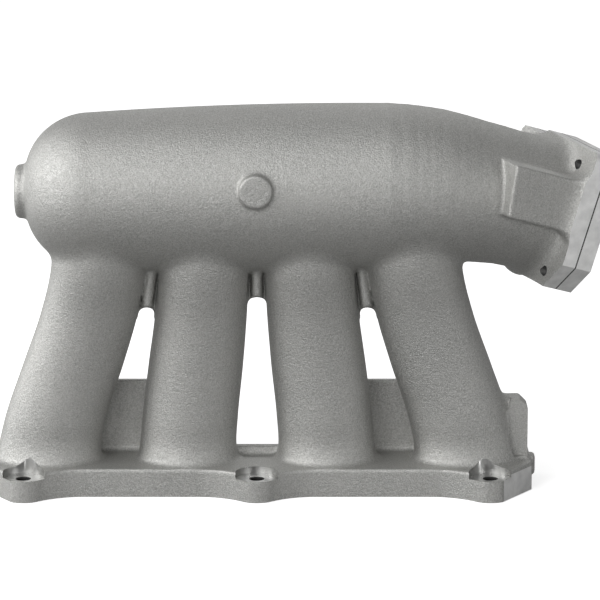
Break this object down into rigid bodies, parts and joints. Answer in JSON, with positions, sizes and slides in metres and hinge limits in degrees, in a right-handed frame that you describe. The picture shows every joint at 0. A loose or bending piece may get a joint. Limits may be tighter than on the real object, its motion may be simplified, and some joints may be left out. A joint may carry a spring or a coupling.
{
  "type": "intake manifold",
  "caption": "Hollow cast intake manifold: a round plenum with curved oval runners down to a scalloped head flange, and a bent neck to a square throttle flange.",
  "frame": {"origin": "middle of the cylinder-head face, on the straight line through the centres of the four ports", "axes": "+X along the row of ports towards the throttle end, +Z away from the head face, -Y is the front"},
  "size_m": [0.4262, 0.135, 0.2601],
  "materials": {
    "cast_aluminium": "bare sand-cast aluminium with a fine matt grain, machined bright at its faces and bolt seats",
    "machined_aluminium": "milled, with fine parallel tool lines",
    "gasket_sheet": "thin dark fibre gasket sheet"
  },
  "bodies": {
    "root": {"head_flange": "cast_aluminium", "runner_1": "cast_aluminium", "runner_2": "cast_aluminium", "runner_3": "cast_aluminium", "runner_4": "cast_aluminium", "plenum_upper_shell": "cast_aluminium", "plenum_lower_shell": "cast_aluminium", "plenum_end_dome": "cast_aluminium", "throttle_neck": "cast_aluminium", "throttle_flange": "cast_aluminium", "web_1_2": "cast_aluminium", "web_2_3": "cast_aluminium", "web_3_4": "cast_aluminium", "rear_gusset_1_2": "cast_aluminium", "rear_gusset_3_4": "cast_aluminium", "rear_lip": "cast_aluminium", "front_boss": "cast_aluminium", "end_boss": "cast_aluminium", "neck_pad": "cast_aluminium", "bracket_post": "cast_aluminium", "locating_lug": "cast_aluminium", "throttle_gasket": "gasket_sheet", "throttle_adapter_plate": "machined_aluminium"}
  },
  "joints": []
}
